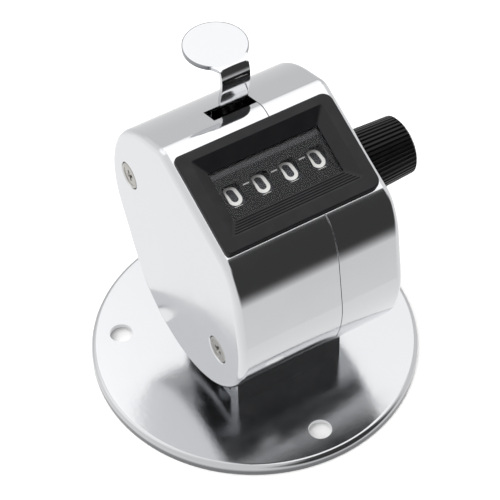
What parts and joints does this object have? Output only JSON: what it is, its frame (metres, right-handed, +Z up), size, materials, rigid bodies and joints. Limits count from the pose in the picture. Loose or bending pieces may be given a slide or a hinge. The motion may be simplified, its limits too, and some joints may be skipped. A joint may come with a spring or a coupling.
{
  "type": "desk tally counter",
  "caption": "Hand-pressed mechanical tally counter on a round screw-down base, with a thumb lever on top and a side knob that sets the number wheels back.",
  "frame": {"origin": "centre of the base disc on the table top", "axes": "+Z up, the number window faces -Y and up, the reset knob is on +X"},
  "size_m": [0.078, 0.078, 0.086],
  "materials": {
    "chromed_steel": "mirror-bright chrome plate on pressed steel",
    "zinc_steel": "plain bright steel, lightly zinc plated",
    "black_plastic": "satin black moulding",
    "wheel_plastic": "dark grey moulding with white figures",
    "clear_plastic": "clear polished sheet",
    "black_steel": "black painted thin sheet",
    "pinion_plastic": "natural acetal",
    "spring_steel": "spring wire",
    "brass_collar": "turned brass"
  },
  "bodies": {
    "case_and_base": {"base_plate": "chromed_steel", "saddle_bracket": "chromed_steel", "saddle_rivets": "zinc_steel", "saddle_bolts": "zinc_steel", "saddle_nuts": "zinc_steel", "saddle_spacers": "zinc_steel", "left_shell": "chromed_steel", "right_shell": "chromed_steel", "bezel": "black_plastic", "window_lens": "clear_plastic", "number_mask": "black_steel", "left_screws": "chromed_steel", "right_screws": "chromed_steel", "rear_tie_post": "zinc_steel", "front_tie_post": "zinc_steel", "inner_frame": "zinc_steel", "spring_shelf": "zinc_steel", "pinion_shaft": "zinc_steel", "lever_pin": "zinc_steel", "return_spring": "spring_steel", "hold_pawl_pin": "zinc_steel", "hold_pawl_spring": "spring_steel"},
    "lever": {"thumb_lever": "chromed_steel", "drive_pawl_pin": "zinc_steel", "drive_pawl_spring": "spring_steel"},
    "drive_pawl_arm": {"drive_pawl": "zinc_steel"},
    "hold_pawl_arm": {"hold_pawl": "zinc_steel"},
    "units": {"units_wheel": "wheel_plastic", "ratchet_wheel": "zinc_steel"},
    "tens": {"tens_wheel": "wheel_plastic"},
    "hundreds": {"hundreds_wheel": "wheel_plastic"},
    "thousands": {"thousands_wheel": "wheel_plastic"},
    "carry_tens": {"tens_pinion": "pinion_plastic"},
    "carry_hundreds": {"hundreds_pinion": "pinion_plastic"},
    "carry_thousands": {"thousands_pinion": "pinion_plastic"},
    "reset": {"reset_knob": "black_plastic", "wheel_shaft": "zinc_steel", "shaft_clip": "spring_steel", "left_collar": "brass_collar", "right_collar": "brass_collar"}
  },
  "joints": [
    {"name": "lever_press", "type": "hinge", "parent": "case_and_base", "child": "lever", "pos_m": [0, -0.0198, 0.0582], "axis": [-1, 0, 0], "range_deg": [0, 7], "stiffness_Nm_per_rad": 0.6, "springref_deg": -6.88, "deforming": ["return_spring"]},
    {"name": "drive_pawl_swing", "type": "hinge", "parent": "lever", "child": "drive_pawl_arm", "pos_m": [0.0145, -0.002, 0.0657], "axis": [1, 0, 0], "range_deg": [0, 12], "stiffness_Nm_per_rad": 0.002, "springref_deg": -8.59},
    {"name": "hold_pawl_swing", "type": "hinge", "parent": "case_and_base", "child": "hold_pawl_arm", "pos_m": [0.0145, -0.0094, 0.0492], "axis": [1, 0, 0], "range_deg": [0, 12], "stiffness_Nm_per_rad": 0.002, "springref_deg": -8.59},
    {"name": "units_spin", "type": "hinge", "parent": "case_and_base", "child": "units", "pos_m": [0, -0.00881, 0.05709], "axis": [-1, 0, 0], "continuous": true},
    {"name": "tens_spin", "type": "hinge", "parent": "case_and_base", "child": "tens", "pos_m": [0, -0.00881, 0.05709], "axis": [-1, 0, 0], "continuous": true},
    {"name": "hundreds_spin", "type": "hinge", "parent": "case_and_base", "child": "hundreds", "pos_m": [0, -0.00881, 0.05709], "axis": [-1, 0, 0], "continuous": true},
    {"name": "thousands_spin", "type": "hinge", "parent": "case_and_base", "child": "thousands", "pos_m": [0, -0.00881, 0.05709], "axis": [-1, 0, 0], "continuous": true},
    {"name": "tens_pinion_spin", "type": "hinge", "parent": "case_and_base", "child": "carry_tens", "pos_m": [0, -0.00507, 0.04682], "axis": [-1, 0, 0], "continuous": true},
    {"name": "hundreds_pinion_spin", "type": "hinge", "parent": "case_and_base", "child": "carry_hundreds", "pos_m": [0, -0.00507, 0.04682], "axis": [-1, 0, 0], "continuous": true},
    {"name": "thousands_pinion_spin", "type": "hinge", "parent": "case_and_base", "child": "carry_thousands", "pos_m": [0, -0.00507, 0.04682], "axis": [-1, 0, 0], "continuous": true},
    {"name": "reset_spin", "type": "hinge", "parent": "case_and_base", "child": "reset", "pos_m": [0, -0.00881, 0.05709], "axis": [-1, 0, 0], "continuous": true}
  ],
  "couplings": [
    {"joint": "tens_spin", "follows": "units_spin", "ratio": 0.1},
    {"joint": "hundreds_spin", "follows": "units_spin", "ratio": 0.01},
    {"joint": "thousands_spin", "follows": "units_spin", "ratio": 0.001},
    {"joint": "tens_pinion_spin", "follows": "units_spin", "ratio": -0.25},
    {"joint": "hundreds_pinion_spin", "follows": "units_spin", "ratio": -0.025},
    {"joint": "thousands_pinion_spin", "follows": "units_spin", "ratio": -0.0025}
  ]
}
